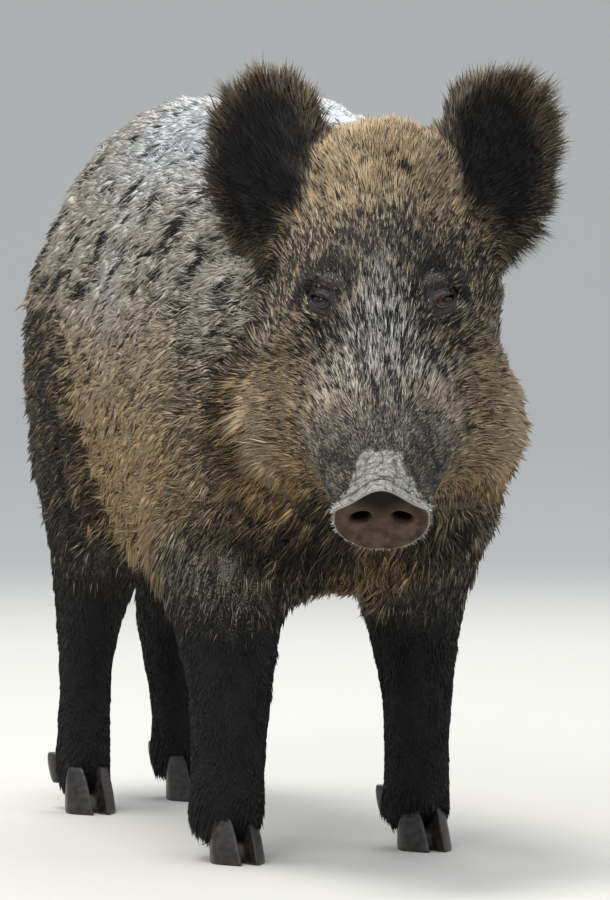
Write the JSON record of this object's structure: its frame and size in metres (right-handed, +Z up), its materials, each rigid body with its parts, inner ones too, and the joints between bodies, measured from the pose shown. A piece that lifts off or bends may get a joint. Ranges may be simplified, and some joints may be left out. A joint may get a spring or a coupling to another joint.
{
  "type": "wild boar",
  "caption": "Wild boar standing still on all four feet, life size, its head hanging low and turned a little to its right, with a bristly winter coat.",
  "frame": {"origin": "middle of the bounding box at the level of the soles", "axes": "+Z up, -Y towards the head, +Y towards the tail, +X towards the animal's left side"},
  "size_m": [0.3706, 1.2164, 0.8079],
  "materials": {
    "body_coat": "bristly coat, matt",
    "face_coat": "short grizzled coat, matt",
    "leg_coat": "short dark coat, matt",
    "ear_coat": "short dark coat, matt",
    "snout_skin": "bare moist skin",
    "eye": "wet gloss",
    "claw": "worn horn"
  },
  "bodies": {
    "root": {"trunk": "body_coat", "neck": "body_coat", "tail": "leg_coat", "head": "face_coat", "lower_jaw": "face_coat", "snout_disc": "snout_skin", "eye_left": "eye", "eye_right": "eye", "ear_left": "ear_coat", "ear_right": "ear_coat", "foreleg_left_upper": "leg_coat", "foreleg_left_lower": "leg_coat", "foreleg_right_upper": "leg_coat", "foreleg_right_lower": "leg_coat", "hindleg_left_upper": "leg_coat", "hindleg_left_lower": "leg_coat", "hindleg_right_upper": "leg_coat", "hindleg_right_lower": "leg_coat", "claw_fore_left_inner": "claw", "claw_fore_left_outer": "claw", "claw_fore_left_inner_dew": "claw", "claw_fore_left_outer_dew": "claw", "claw_fore_right_inner": "claw", "claw_fore_right_outer": "claw", "claw_fore_right_inner_dew": "claw", "claw_fore_right_outer_dew": "claw", "claw_hind_left_inner": "claw", "claw_hind_left_outer": "claw", "claw_hind_left_inner_dew": "claw", "claw_hind_left_outer_dew": "claw", "claw_hind_right_inner": "claw", "claw_hind_right_outer": "claw", "claw_hind_right_inner_dew": "claw", "claw_hind_right_outer_dew": "claw"}
  },
  "joints": []
}
